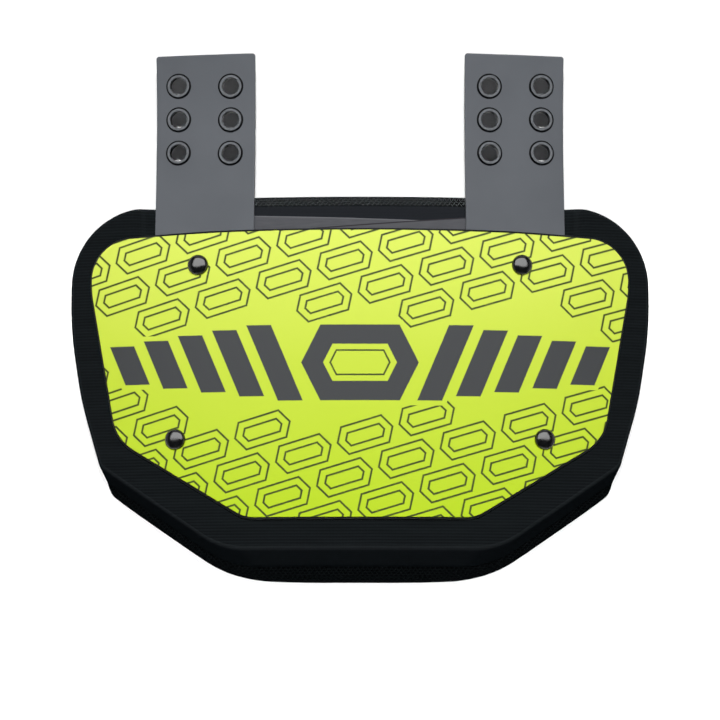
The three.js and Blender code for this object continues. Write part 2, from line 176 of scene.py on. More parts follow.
def closed_piece(name, rings, poles, cloth=None, cloth_poles=None):
    """A closed form: rings of as many points each from one pole to the other, and a fan at each."""
    count = rings.shape[1]
    total = rings.shape[0] * count
    index = np.arange(count)
    ahead = (index + 1) % count
    first = np.stack([np.full(count, total), index, ahead], -1)
    last = np.stack([total - count + index, np.full(count, total + 1), total - count + ahead], -1)
    points = np.concatenate([rings.reshape(-1, 3), poles])
    if cloth is not None:
        cloth = np.concatenate([cloth.reshape(-1, 2), cloth_poles])
    return mesh_piece(name, points, [strip_faces(rings.shape[0], count), first, last], cloth)


def plate(name, count, profile, face_steps, outline, height_front, height_back):
    """A closed plate on the bend. profile is (rise, inset) from the back's edge round the wall to
    the front's edge; inside them the faces run straight to the middle. outline(rise) is the loop
    there, and the cloth is unrolled over the edge: each wall point lies out from the front's rim by
    the length of the profile between them."""
    rises = np.array([p[0] for p in profile])
    loops = []
    for rise, inset in profile:
        loop = outline(rise)
        loops.append(loop - outward(loop) * inset)
    loops = np.array(loops)
    middle = np.array([0.0, loops[-1][:, 1].mean()])
    shares = np.linspace(0, 1, face_steps + 1)[1:-1][:, None, None]
    back = loops[0] * (1 - shares) + middle * shares
    front = loops[-1] * (1 - shares) + middle * shares
    flat = np.concatenate([back[::-1], loops, front])
    rise = np.concatenate([np.zeros(len(back)), rises, np.ones(len(front))])[:, None]
    low = height_back(flat[..., 0], flat[..., 1])
    high = height_front(flat[..., 0], flat[..., 1])
    h = low + (high - low) * rise
    wall = np.stack([loops[..., 0], loops[..., 1], h[len(back):len(back) + len(loops)]], -1)
    steps = np.linalg.norm(np.diff(wall, axis=0), axis=-1)
    gone = np.concatenate([np.cumsum(steps[::-1], 0)[::-1], np.zeros((1, count))])
    rim = loops[-1]
    unrolled = rim + outward(rim) * gone[..., None]
    cloth = np.concatenate([back[::-1], unrolled, front])
    poles = [placed(*middle, height_back(*middle)), placed(*middle, height_front(*middle))]
    rings = placed(flat[..., 0], flat[..., 1], h)
    return closed_piece(name, rings, np.stack(poles), cloth, np.stack([middle, middle]))


def quarter(low, high, depth, steps, falling):
    """(rise, inset) along a quarter ellipse between two rises: the inset is depth at the rim and 0
    on the wall. falling is for a rim above the wall."""
    t = np.linspace(0, np.pi / 2, steps)
    if falling:
        return [(low + (high - low) * np.sin(a), depth * (1 - np.cos(a))) for a in t]
    return [(low + (high - low) * (1 - np.cos(a)), depth * (1 - np.sin(a))) for a in t]


def seat(u, y, h, slope=0.0):
    """The frame of a small round piece on the bent plate, on a surface that climbs by slope along
    y: columns are across, along, out of the surface, and its place in metres."""
    angle = u / BEND
    out = np.array([math.sin(angle), 0.0, math.cos(angle)])
    along = unit(np.array([0.0, 1.0, 0.0]) + out * slope)
    across = np.array([math.cos(angle), 0.0, -math.sin(angle)])
    return np.stack([across, along, np.cross(across, along)], -1), placed(u, y, h)


def sheet_piece(name, across, down, place, thickness, edge):
    """A thin sheet: a grid of shares across and down, placed on its front face, given its thickness
    behind that face, with rounded edges."""
    a, d = np.meshgrid(across, down)
    points = place(a, d)
    rows, columns = a.shape
    mark = np.arange(rows * columns).reshape(rows, columns)
    faces = np.stack([mark[:-1, :-1], mark[1:, :-1], mark[1:, 1:], mark[:-1, 1:]], -1)
    shares = np.stack([a.ravel(), d.ravel()], -1)
    piece = mesh_piece(name, points, [faces.reshape(-1, 4)], shares)
    return thickened(piece, thickness, edge)


def thickened(piece, thickness, edge):
    """The sheet with its thickness behind it and its edges rounded by edge."""
    body = piece.modifiers.new("thickness", "SOLIDIFY")
    body.thickness = thickness / 1000
    body.offset = -1
    body.use_even_offset = True
    rim = piece.modifiers.new("rounded edges", "BEVEL")
    rim.width = edge / 1000
    rim.segments = 2
    rim.limit_method = "ANGLE"
    rim.angle_limit = math.radians(50)
    rim.harden_normals = False
    return piece


# Shader maths

class Term:
    """A socket in a finish. An operator on it adds the Math node of that name."""

    def __init__(self, finish, socket):
        self.finish, self.socket = finish, socket

    def math(self, operation, *others):
        values = dict(enumerate((self, *others)))
        return self.finish.node("ShaderNodeMath", {"operation": operation}, values)

    def __add__(self, other): return self.math("ADD", other)
    def __radd__(self, other): return self.math("ADD", other)
    def __sub__(self, other): return self.math("SUBTRACT", other)
    def __rsub__(self, other): return (self * -1) + other
    def __mul__(self, other): return self.math("MULTIPLY", other)
    def __rmul__(self, other): return self.math("MULTIPLY", other)
    def __truediv__(self, other): return self.math("DIVIDE", other)
    def __neg__(self): return self * -1
    def __abs__(self): return self.math("ABSOLUTE")
    def sin(self): return self.math("SINE")
    def floor(self): return self.math("FLOOR")
    def fract(self): return self.math("FRACT")
    def least(self, other): return self.math("MINIMUM", other)
    def most(self, other): return self.math("MAXIMUM", other)

    def between(self, low, high):
        """0 on low's side, 1 on high's, straight between them."""
        ends = {"Value": self, "From Min": low, "From Max": high}
        return self.finish.node("ShaderNodeMapRange", {"clamp": True}, ends)


class Finish:
    """One material, with its shader's constants. node() adds a node by its type, with its settings
    first and then its sockets, and show() feeds the shader what varies over the surface."""

    def __init__(self, name, **constants):
        self.material = bpy.data.materials.new(name)
        self.material.use_nodes = True
        self.tree = self.material.node_tree
        self.shader = self.tree.nodes["Principled BSDF"]
        for socket, value in constants.items():
            self.shader.inputs[socket.replace("_", " ")].default_value = value

    def node(self, kind, settings=None, sockets=None, out=0):
        """A node of a type, with its settings and the values or links of its sockets."""
        node = self.tree.nodes.new(kind)
        for key, value in (settings or {}).items():
            if key == "stops":
                self.stops(node.color_ramp, value)
            else:
                setattr(node, key, value)
        for key, value in (sockets or {}).items():
            self.feed(node.inputs[key], value)
        return Term(self, node.outputs[out])

    def stops(self, ramp, stops):
        """Gives a ramp its colours, each at its place."""
        for i, (place, colour) in enumerate(stops):
            stop = ramp.elements[i] if i < len(ramp.elements) else ramp.elements.new(place)
            stop.position, stop.color = place, (*colour, 1)

    def feed(self, socket, value):
        """Links a term to a socket, or sets a number or a colour on it."""
        if isinstance(value, Term):
            self.tree.links.new(value.socket, socket)
        elif socket.type == "RGBA":
            socket.default_value = (*value, 1)
        else:
            socket.default_value = value

    def object_place(self):
        """The object's own x, y and z, in millimetres."""
        place = self.node("ShaderNodeTexCoord", out="Object")
        values = {0: place, "Scale": 1000.0}
        return self.split(self.node("ShaderNodeVectorMath", {"operation": "SCALE"}, values))

    def cloth_place(self):
        """The piece's own cloth coordinates."""
        name = {"attribute_name": "cloth"}
        return self.split(self.node("ShaderNodeAttribute", name, out="Vector"))

    def split(self, vector):
        """A vector's three parts."""
        return [self.node("ShaderNodeSeparateXYZ", None, {0: vector}, out=axis) for axis in "XYZ"]

    def vector(self, x, y, z=0.0):
        """A vector of three parts."""
        return self.node("ShaderNodeCombineXYZ", None, {"X": x, "Y": y, "Z": z})

    def noise(self, place, scale, detail=2.0, roughness=0.5):
        """Smooth noise from 0 to 1 at a place in millimetres, about scale bumps to each."""
        values = {"Vector": place, "Scale": scale, "Detail": detail, "Roughness": roughness}
        return self.node("ShaderNodeTexNoise", None, values, out="Fac")

    def mix(self, factor, low, high):
        """A colour between low and high."""
        values = {0: factor, 6: low, 7: high}
        return self.node("ShaderNodeMix", {"data_type": "RGBA"}, values, out=2)

    def show(self, **sockets):
        """The material, once its shader's named sockets are fed."""
        for key, value in sockets.items():
            self.feed(self.shader.inputs[key.replace("_", " ")], value)
        return self.material

    def relief(self, height, distance, strength=1.0):
        """A bump of the given height, which is a share of distance millimetres."""
        values = {"Height": height, "Distance": distance / 1000, "Strength": strength}
        return self.node("ShaderNodeBump", None, values)


def tone(red, green, blue):
    """A display colour from 0 to 255 as the light it stands for."""
    share = np.array([red, green, blue]) / 255
    light = np.where(share <= 0.04045, share / 12.92, ((share + 0.055) / 1.055) ** 2.4)
    return tuple(light.tolist())


OLIVE, CHARCOAL = tone(52, 66, 6), tone(50, 52, 54)
# The lime's ramp is painted light: deep at the plate's lower end, paler towards its top, where the
# light falls.
LIME_PAINTED_SHADE_TO_LIGHT = ((0.0, tone(173, 203, 6)), (0.54, tone(187, 208, 50)), (1.0, tone(206, 221, 83)))

# The print, in millimetres: its small hexagons by reach, half height and slant, the rows they
# stand in, and the bold motif's own hexagon and bars, MOTIF_Y below the middle of the object.
ROW_TILT, ROW_HEIGHT, ROW_PITCH, ROW_SHIFT = math.radians(17), 19.6, 36.0, 18.0
SMALL_HEXAGON, LINE_INSET, LINE_HALF = (16.0, 7.9, 0.55), 4.2, 0.55
CORE_HEXAGON, CORE_RING, CORE_LINE, CORE_LINE_HALF = (33.0, 21.5, 0.5), 11.0, 14.6, 0.5
MOTIF_Y, BAR_LEAN, BAR_START, BAR_PITCH, BAR_HALF = 30.0, 0.42, 48.0, 20.5, 6.4
BAR_REACH, BAR_SHORTER, LAST_BAR = 21.5, 2.6, 4.0


def hexagon(x, y, reach, half, slant):
    """How far a point lies outside an elongated hexagon of the given reach and half height, whose
    ends slope in by slant for each millimetre up: the greater of its distances from the flats."""
    end = (abs(x) + abs(y) * slant - reach) * (1 / math.hypot(1, slant))
    return end.most(abs(y) - half)


def wing(x, y):
    """How far a point lies outside the bold motif: a hexagon ring in the middle and five slanted
    bars on each side of it, each shorter than the last."""
    high = y + MOTIF_Y
    lean = abs(x) - high * BAR_LEAN
    place = ((lean - BAR_START) / BAR_PITCH + 0.5).floor().most(0.0).least(LAST_BAR)
    beside = abs(lean - BAR_START - place * BAR_PITCH) * 0.92 - BAR_HALF
    bar = beside.most(abs(high) - (BAR_REACH - place * BAR_SHORTER))
    core = hexagon(x, high, *CORE_HEXAGON)
    return bar.least(core.most(-core - CORE_RING))


def print_finish():
    """The shell's print: slanting rows of doubly outlined hexagons, and the bold motif on a field
    that they leave clear. The lime is painted paler towards the top of the plate and deeper towards
    its lower end: painted light from above, with painted shade below."""
    f = Finish("shell_print", Specular_IOR_Level=0.25)
    x, y, z = f.object_place()
    c, s = math.cos(ROW_TILT), math.sin(ROW_TILT)
    along = x * c + y * s
    up = y * c - x * s
    row = (up / ROW_HEIGHT).floor()
    local_y = ((up / ROW_HEIGHT).fract() - 0.5) * ROW_HEIGHT
    local_x = (((along + row * ROW_SHIFT) / ROW_PITCH).fract() - 0.5) * ROW_PITCH
    ring = hexagon(local_x, local_y, *SMALL_HEXAGON)
    line = abs(ring).least(abs(ring + LINE_INSET)) - LINE_HALF
    thin = 1 - line.between(-0.18, 0.18)
    # A small hexagon is left out where its middle or either end comes too near the bold motif.
    clear = None
    for reach in (-10.0, 0.0, 10.0):
        cell_x, cell_y = along - local_x + reach, up - local_y
        gap = wing(cell_x * c - cell_y * s, cell_x * s + cell_y * c)
        clear = gap if clear is None else clear.least(gap)
    bold = wing(x, y)
    inner = abs(hexagon(x, y + MOTIF_Y, *CORE_HEXAGON) + CORE_LINE) - CORE_LINE_HALF
    shown = clear.between(6.4, 6.6) * bold.between(2.6, 2.9)
    inked = 1 - bold.between(-0.2, 0.2)
    cloud = f.noise(f.vector(x, y, z), 0.02, 3.0)
    # Painted light: the lime follows the place up the plate, paler at the top and deeper below,
    # with a little random cloud.
    height = y.between(-118.0, 46.0) + (cloud - 0.5) * 0.12
    base = f.node("ShaderNodeValToRGB", {"stops": LIME_PAINTED_SHADE_TO_LIGHT}, {"Fac": height})
    base = f.mix((thin * shown).most(1 - inner.between(-0.18, 0.18)), base, OLIVE)
    base = f.mix(inked, base, CHARCOAL)
    grain = f.noise(f.vector(x, y, z), 1.6, 2.0)
    return f.show(Base_Color=base, Roughness=0.36 + grain * 0.08, Normal=f.relief(grain, 0.02))


def moulded_finish(name, colour, rough, deep=0.02, cloudy=0.12, scale=0.05):
    """Moulded plastic: a fine grain, and patches that are a little lighter and darker."""
    f = Finish(name, Specular_IOR_Level=0.15)
    x, y, z = f.object_place()
    spot = f.vector(x, y, z)
    cloud = f.noise(spot, scale, 3.0)
    fine = f.noise(spot, 2.4, 2.0)
    dark = tuple(c * (1 - cloudy) for c in colour)
    light = tuple(c * (1 + cloudy) for c in colour)
    shade = f.mix(cloud.between(0.3, 0.7), dark, light)
    dull = rough + (fine - 0.5) * 0.12
    return f.show(Base_Color=shade, Roughness=dull, Normal=f.relief(fine, deep))


def band_finish(name, cut):
    """Dark vinyl sheet with fine grain along it; its long edges are painted in the colour given, as
    a painted highlight on the rear band and as a painted shadow line on the front band. The cloth
    coordinates run from -0.5 to 0.5 along it and across it."""
    f = Finish(name, Specular_IOR_Level=0.15)
    x, y, z = f.object_place()
    _, across, _ = f.cloth_place()
    grain = f.noise(f.vector(x * 0.2, y * 1.5, z), 0.5, 3.0)
    # The painted edge: a thin strip along each long edge, in the colour of the band's painted
    # highlight (rear) or painted shadow line (front).
    edge = abs(across).between(0.5 - 0.9 / BAND_WIDTH, 0.5 - 0.5 / BAND_WIDTH)
    shade = f.mix(grain.between(0.3, 0.7), tone(68, 69, 73), tone(76, 77, 81))
    shade = f.mix(edge, shade, cut)
    return f.show(Base_Color=shade, Roughness=0.5 + grain * 0.12, Normal=f.relief(grain, 0.03))


def pad_finish():
    """The pad's covering: fine ribs across it, crossed by finer threads, with faint uneven wear.
    Between the straps, at its top, it is painted lighter as painted light from above; the rounded
    edge carries a painted highlight, and the walls are painted dark as painted shade."""
    f = Finish("pad_fabric", Specular_IOR_Level=0.0)
    x, y, _ = f.cloth_place()
    rib_pitch, thread_pitch = 1.7, 0.8
    wave = f.noise(f.vector(x, y), 0.03, 2.0)
    rib = (y * (2 * math.pi / rib_pitch) + wave * 2.0).sin() * 0.5 + 0.5
    thread = (x * (2 * math.pi / thread_pitch)).sin() * 0.5 + 0.5
    cloud = f.noise(f.vector(x * 0.4, y * 3.0), 0.06, 4.0, 0.6)
    height = rib * 0.7 + thread * 0.3
    shade = f.mix(height * 0.5 + cloud * 0.5, tone(10, 12, 13), tone(28, 32, 34))
    # Painted light: the face between the straps, at the top of the pad, is painted lighter.
    painted_light_between_straps = (1 - abs(x).between(58.0, 66.0)) * y.between(-26.0, -20.0)
    shade = f.mix(painted_light_between_straps * 0.75, shade, tone(36, 38, 42))
    level = f.split(f.node("ShaderNodeNewGeometry", out="Normal"))[2]
    # A painted highlight along the rounded edge, where the face begins to turn away.
    shade = f.mix(level.between(0.955, 0.92) * 0.25, shade, tone(46, 50, 52))
    # Painted shade: the walls, turned away from the light above, are painted near black.
    shade = f.mix(level.between(0.9, 0.5) * 0.94, shade, tone(7, 10, 12))
    dull = 0.8 + cloud * 0.16
    return f.show(Base_Color=shade, Roughness=dull, Normal=f.relief(height, 0.12, 0.8))


def mesh_finish():
    """Air mesh: staggered round openings between raised grey threads. On the walls the pattern is
    read from the height instead of from y or x, whichever the wall faces. The lower wall is painted
    dark as painted shade.
    """
    f = Finish("liner_mesh", Specular_IOR_Level=0.0)
    x, y, z = f.object_place()
    nx, ny, _ = f.split(f.node("ShaderNodeNewGeometry", out="Normal"))
    ends = abs(nx).between(0.69, 0.71)
    sides = abs(ny).between(0.69, 0.71)
    u = x * (1 - ends) + z * ends
    v = y * (1 - sides) + z * sides
    pitch = 2.7
    row = (v / (pitch * 0.5)).floor()
    a = ((u / pitch + row * 0.5).fract() - 0.5) * pitch
    b = ((v / (pitch * 0.5)).fract() - 0.5) * (pitch * 0.9)
    away = (a * a + b * b).math("SQRT")
    thread = away.between(0.55, 1.05)
    lean = ((row * 0.5).fract() * 4.0 - 1.0) * 0.8
    strand = ((u + v * lean) * (2 * math.pi / (pitch * 0.5))).sin().between(0.3, 0.95)
    cloud = f.noise(f.vector(u, v), 0.9, 3.0)
    lit = f.mix(strand * (0.1 + cloud * 1.3), tone(12, 14, 15), tone(118, 123, 125))
    # Painted shade: where the wall faces down, the threads are painted near black.
    painted_shade_low_wall = ny.between(-0.04, -0.3)
    lit = f.mix(painted_shade_low_wall * 0.965, lit, tone(7, 10, 11))
    shade = f.mix(thread, tone(4, 5, 6), lit)
    relief = f.relief(thread * 0.8 + strand * 0.2, 0.6, 0.9)
    return f.show(Base_Color=shade, Roughness=0.8 + cloud * 0.1, Normal=relief)


def painted_finish(name, colour, rough, level, crest=None):
    """Black enamel on metal of the given specular level, a little duller in patches. crest is the
    lowest and highest radius, in millimetres, between which the enamel is painted grey as a
    painted highlight of the light on the crest, and the height above which it is."""
    f = Finish(name, Specular_IOR_Level=level)
    x, y, z = f.object_place()
    spot = f.vector(x, y, z)
    wear = f.noise(spot, 0.6, 3.0, 0.6)
    shade = f.mix(wear.between(0.45, 0.75), colour, tuple(c * 1.6 + 0.002 for c in colour))
    if crest:
        low, high, start = crest
        radius, height, _ = f.cloth_place()
        # Painted highlight: the crest ring is painted grey where it would catch the light from
        # above.
        painted_crest_highlight = radius.between(low, low + 0.25) * (1 - radius.between(high - 0.2, high))
        painted_crest_highlight = painted_crest_highlight * height.between(start, start + 0.1)
        shade = f.mix(painted_crest_highlight * (0.8 + wear * 0.3), shade, tone(100, 103, 107))
    dull = rough + wear.between(0.4, 0.8) * 0.1
    return f.show(Base_Color=shade, Roughness=dull, Normal=f.relief(f.noise(spot, 3.0), 0.01))


def dressed(piece, slot, *materials):
    """The piece with its materials, riding on the one body. slot is not used."""
    for material in materials:
        piece.data.materials.append(material)
    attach(piece, "root")
    return piece


# The camera: some 10 degrees from straight above, towards the plate's lower end

CAMERA_HEIGHT_ANGLE = 80.907
camera_data = bpy.data.cameras.new("camera")
camera_data.lens = 131.1
camera_data.sensor_width = 36
camera = bpy.data.objects.new("camera", camera_data)
bpy.context.scene.collection.objects.link(camera)
camera.location = (0.0, -0.26081, 1.49921)
camera.rotation_euler = (math.radians(90 - CAMERA_HEIGHT_ANGLE), 0, 0)
bpy.context.scene.camera = camera

# The pad, in its ribbed covering


def pad_face(u, y):
    """The face, pressed by PRESS_DEPTH where the straps and bands run, with smooth shoulders."""
    half = (STRAP_SPACING + STRAP_WIDTH) / 2 + PRESS_MARGIN
    end = -STRAP_TAIL - PRESS_MARGIN
    beside = 1 - smooth(np.abs(u), half, half + PRESS_SHOULDER)
    return -PRESS_DEPTH * beside * smooth(y, end - PRESS_SHOULDER, end)


pad_profile = [(0.0, 0.6), (0.02, 0.15)] + [(r, 0.0) for r in np.linspace(0.05, 0.82, 9)]
pad_profile += quarter(0.85, 1.0, PAD_EDGE, 8, True)
pad = plate(
    "pad_cover", PAD_COUNT, pad_profile, 64,
    lambda rise: pad_outline(-PAD_THICKNESS * (1 - rise), PAD_COUNT),
    pad_face, lambda u, y: -PAD_THICKNESS + 0 * u,
)
dressed(pad, "pad_fabric", pad_finish())
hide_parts("pad")

# The lining


def liner_outline(h, count):
    """The pad's outline carried on to the lining, with a crest over its top between the straps. Its
    lower edge bulges by up to LINER_BULGE from the lining's front to the middle of its depth, and
    half as much at its two lowest corners, which are rounder: less half a bell curve about each."""
    loop = pad_outline(h, count)
    inner = (STRAP_SPACING - STRAP_WIDTH) / 2
    top = loop[:, 1] > -1
    loop[:, 1] += top * LINER_CREST * (1 - smooth(np.abs(loop[:, 0]), inner, inner + LINER_FADE))
    bulge = LINER_BULGE * smooth(LINER_FRONT - h, 0, LINER_THICKNESS / 2)
    corner = np.exp(-((np.abs(loop[:, 0]) - BULGE_CORNER) / BULGE_SPREAD) ** 2)
    loop[:, 1] -= bulge * smooth(-loop[:, 1], *BULGE_RISE) * (1 - 0.5 * corner)
    return loop


def liner_form(name, count):
    """The lining, flat at the back."""
    profile = quarter(0.0, 0.3, LINER_EDGE, 9, False)
    profile += [(r, 0.0) for r in np.linspace(0.36, 0.74, 5)]
    profile += quarter(0.78, 1.0, 2.0, 6, True)
    return plate(
        name, count, profile, LINER_STEPS,
        lambda rise: liner_outline(LINER_BACK + (LINER_FRONT - LINER_BACK) * rise, count),
        lambda u, y: LINER_FRONT + 0 * u, lambda u, y: LINER_BACK + 0 * u,
    )


def points_of(mesh):
    """The mesh's points, one row each, in metres."""
    points = np.empty(len(mesh.vertices) * 3, np.float32)
    mesh.vertices.foreach_get("co", points)
    return points.reshape(-1, 3).astype(float)


def swelling(start, held):
    """How far each point of the form moves when its cloth is blown up from inside with the held
    points fixed: cloth under pressure, without gravity, for some steps. The form is put away."""
    steps = 20
    before = points_of(start.data)
    start.vertex_groups.new(name="held").add(np.flatnonzero(held).tolist(), 1.0, "REPLACE")
    cloth = start.modifiers.new("cloth", "CLOTH")
    cloth.settings.use_pressure = True
    cloth.settings.uniform_pressure_force = 4
    cloth.settings.effector_weights.gravity = 0
    cloth.settings.vertex_group_mass = "held"
    cloth.point_cache.frame_end = steps
    for step in range(1, steps + 1):
        bpy.context.scene.frame_set(step)
    blown = start.evaluated_get(bpy.context.evaluated_depsgraph_get())
    moved = points_of(blown.data) - before
    bpy.context.scene.frame_set(1)
    bpy.data.objects.remove(start)
    return moved


def raised(piece, height):
    """Moves each point out of the bent plate by its height in millimetres, and keeps it within the
    lining's own front and back and off the floor. Gives the way out and the height it had."""
    points = points_of(piece.data)
    out = points * [1, 0, 1] - [0, 0, (CREST - BEND) / 1000]
    now = np.linalg.norm(out, axis=1) * 1000 - BEND
    target = np.clip(now + height, LINER_BACK, LINER_FRONT)
    points += unit(out) * (target - now)[:, None] / 1000
    points[:, 2] = np.maximum(points[:, 2], 0)
    piece.data.vertices.foreach_set("co", points.astype(np.float32).ravel())
    return unit(out), now


def thinned(piece, count):
    """How far the back is raised before it is blown up: nothing at its rim, LINER_SWELL further in.
    The form's rings have count points each, and its two poles come last."""
    inner = smooth(np.linspace(0, 1, LINER_STEPS + 1)[1:-1][::-1], 0, 0.16) * LINER_SWELL
    rest = np.zeros(len(piece.data.vertices) // count - len(inner))
    return np.concatenate([np.repeat(np.concatenate([inner, rest]), count), [LINER_SWELL, 0.0]])


def spread(table, count):
    """The rings' values at count points each, straight between those of the coarser form."""
    place = np.arange(count) * table.shape[1] / count
    low = place.astype(int)
    return table[:, low] * (1 - (place - low)) + np.roll(table, -1, 1)[:, low] * (place - low)


liner = liner_form("liner_mesh_cover", PAD_COUNT)
growth = np.zeros(len(liner.data.vertices))
few = PAD_COUNT // LINER_SHARE
start = liner_form("liner_start", few)
out, height = raised(start, thinned(start, few))
held = height > LINER_FRONT - 0.62 * LINER_THICKNESS
grown = (swelling(start, held) * out).sum(1) * 1000
grown *= min(1, LINER_SWELL / np.abs(grown).max())
growth = np.concatenate([spread(grown[:-2].reshape(-1, few), PAD_COUNT).ravel(), grown[-2:]])
raised(liner, thinned(liner, PAD_COUNT) + growth)
dressed(liner, "liner_mesh", mesh_finish())
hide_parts("liner")

# The shell: lime print on its face, black round its bevel, walls and back

SHELL_STEPS = 24
shell_corners = [
    (SHELL_WIDTH / 2 * across, -SHELL_DROP - SHELL_HEIGHT * down, SHELL_ROUND * turn)
    for across, down, turn in SHELL_CORNERS
]
shell_loop = rounded(shell_corners, SHELL_COUNT)
crown = SHELL_CROWN * np.maximum(0, 1 - (shell_loop[:, 0] / (SHELL_WIDTH * 0.284)) ** 2)
shell_loop[:, 1] += (shell_loop[:, 1] > -SHELL_DROP - 2) * crown
bevel_start = 1 - SHELL_BEVEL_DEPTH / SHELL_THICKNESS
shell_profile = [(0.0, 0.25), (0.06, 0.0), (bevel_start - 0.1, 0.0), (bevel_start, 0.04)]
shell_profile += [
    (bevel_start + (1 - bevel_start) * t, SHELL_BEVEL * t ** 1.4) for t in (0.25, 0.5, 0.72, 0.88)
]
shell_profile += [(1.0, SHELL_BEVEL), (1.0, SHELL_BEVEL + 0.4)]
shell = plate(
    "shell_plate", SHELL_COUNT, shell_profile, SHELL_STEPS, lambda rise: shell_loop,
    lambda u, y: SHELL_FRONT + 0 * u, lambda u, y: CLEARANCE + 0 * u,
)
shell_black = moulded_finish("shell_edge", tone(16, 18, 18), 0.4)
dressed(shell, "shell_face", shell_black, print_finish())
# The printed faces: the last rings' and the last fan's. The bevel and all behind it stay black.
inner_rings = SHELL_STEPS - 1
face_start = (inner_rings + len(shell_profile) - 2) * SHELL_COUNT
quads = (2 * inner_rings + len(shell_profile) - 1) * SHELL_COUNT
front = np.zeros(len(shell.data.polygons), np.int32)
front[face_start:quads] = 1
front[quads + SHELL_COUNT:] = 1
shell.data.polygons.foreach_set("material_index", front)
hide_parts("shell")

# The bands that cross behind the straps

# Each band: its middle's place, its slope, its face's height and the colour painted on its edges: a
# painted highlight on the rear band, a painted shadow line where the front band's edge steps over
# it.
band_rows = (
    ("band_rear", -26.8, -0.031, -3.8, tone(92, 93, 97)),
    ("band_front", -30.7, 0.075, -2.5, tone(34, 31, 36)),
)
for name, middle, slope, face, cut in band_rows:
    band = sheet_piece(
        name + "_sheet", np.linspace(-0.5, 0.5, 77), np.linspace(0.5, -0.5, 13),
        lambda a, d, m=middle, s=slope, h=face: placed(
            a * BAND_LENGTH, m + s * a * BAND_LENGTH + d * BAND_WIDTH, h
        ),
        BAND_THICKNESS, 0.25,
    )
    dressed(band, "band_sheet", band_finish(name + "_vinyl", cut))
    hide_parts(name)

# The straps


def strap_lift(y):
    """How far a strap stands off at y: STRAP_CURL at its end, by the cube of the way there."""
    return STRAP_CURL * np.maximum(0, y / STRAP_REACH) ** 3


def strap_middle(side, y):
    """A strap's middle at y: it turns in by STRAP_TOE for each millimetre."""
    return side * (STRAP_SPACING / 2 - STRAP_TOE * y)


def strap_sheet(name, side):
    """A strap's front face with its six holes: plain grids above and below, and between them one
    patch round each hole, whose points run straight from a rectangle's rim to the circle."""
    half = STRAP_WIDTH / 2
    split = side * EYELET_OUTSET
    edge, inner, columns_each, rows_each = np.array([0, 0.15, 0.45, 0.9, 1.5]), half - 3, 15, 13
    left = np.concatenate([-half + edge, np.linspace(-inner, split, columns_each)])
    right = np.concatenate([np.linspace(split, inner, columns_each), half - edge[::-1]])
    across = np.concatenate([left, right[1:]])
    near = np.clip(STRAP_ROUND - (half - np.abs(across)), 0, STRAP_ROUND)
    corner = STRAP_ROUND - np.sqrt(STRAP_ROUND ** 2 - near ** 2)
    pitch = EYELET_ROWS[1] - EYELET_ROWS[0]
    cuts = [EYELET_ROWS[0] - pitch / 2 + pitch * i for i in range(len(EYELET_ROWS) + 1)]
    points, faces, total = [], [], 0

    def patch(u, y, wrap):
        """Adds a grid of points on the strap; wrap joins its last column to its first."""
        nonlocal total
        rows, columns = u.shape
        mark = total + np.arange(rows * columns).reshape(rows, columns)
        ahead = np.roll(mark, -1, 1) if wrap else mark[:, 1:]
        here = mark if wrap else mark[:, :-1]
        faces.append(np.stack([here[:-1], here[1:], ahead[1:], ahead[:-1]], -1).reshape(-1, 4))
        points.append(placed(strap_middle(side, y) + u, y, strap_lift(y)).reshape(-1, 3))
        total += rows * columns

    below = (corner - STRAP_TAIL, cuts[0] + 0 * corner, 41)
    above = (cuts[-1] + 0 * corner, STRAP_REACH - corner, 6)
    for low, high, steps in (below, above):
        share = np.linspace(0, 1, steps)[:, None]
        patch(np.broadcast_to(across, (steps, len(across))), high + (low - high) * share, False)
    radius = BORE / 2 + EYELET_WALL + CLEARANCE
    for row, height in enumerate(EYELET_ROWS):
        up = np.linspace(cuts[row], cuts[row + 1], rows_each)
        for column in EYELET_COLUMNS:
            away = EYELET_OUTSET + column
            centre = np.array([side * away, height + EYELET_RISE * away])
            span = left if side * away < split else right
            rim = np.concatenate([
                np.stack([span, np.full(len(span), up[-1])], -1)[:-1],
                np.stack([np.full(rows_each, span[-1]), up[::-1]], -1)[:-1],
                np.stack([span[::-1], np.full(len(span), up[0])], -1)[:-1],
                np.stack([np.full(rows_each, span[0]), up], -1)[:-1],
            ])
            circle = centre + unit(rim - centre) * radius
            share = np.linspace(0, 1, 8)[:, None, None] ** 0.8
            ring = rim * (1 - share) + circle * share
            patch(ring[..., 0], ring[..., 1], True)
    piece = mesh_piece(name, np.concatenate(points), faces)
    weld = piece.modifiers.new("joined", "WELD")
    weld.merge_threshold = 1e-5
    return thickened(piece, STRAP_THICKNESS, 0.35)


strap_grey = moulded_finish("strap_sheet", tone(86, 89, 94), 0.5, 0.02, 0.07, 0.025)
# The eyelets carry a painted grey highlight on their crests.
eyelet_enamel = painted_finish("eyelet_metal", tone(5, 6, 8), 0.34, 0.12, (4.8, 6.4, 0.2))

# An eyelet's section, (radius, height over the strap's face): up its bore's back, round the rear
# flange, through the strap and over the front flange's crown.
EYELET_PROFILE = (
    (BORE / 2, -2.75), (BORE / 2 + 0.2, -3.2), (REAR_FLANGE / 2 - 0.4, -3.2),
    (REAR_FLANGE / 2, -2.85), (REAR_FLANGE / 2 - 0.1, -2.5), (BORE / 2 + EYELET_WALL, -2.5),
    (BORE / 2 + EYELET_WALL, CLEARANCE), (FLANGE / 2, CLEARANCE), (FLANGE / 2, 0.42), (6.75, 0.62),
    (6.45, 1.1), (6.0, CROWN), (5.4, CROWN), (4.95, 1.1), (BORE / 2, 0.6),
)


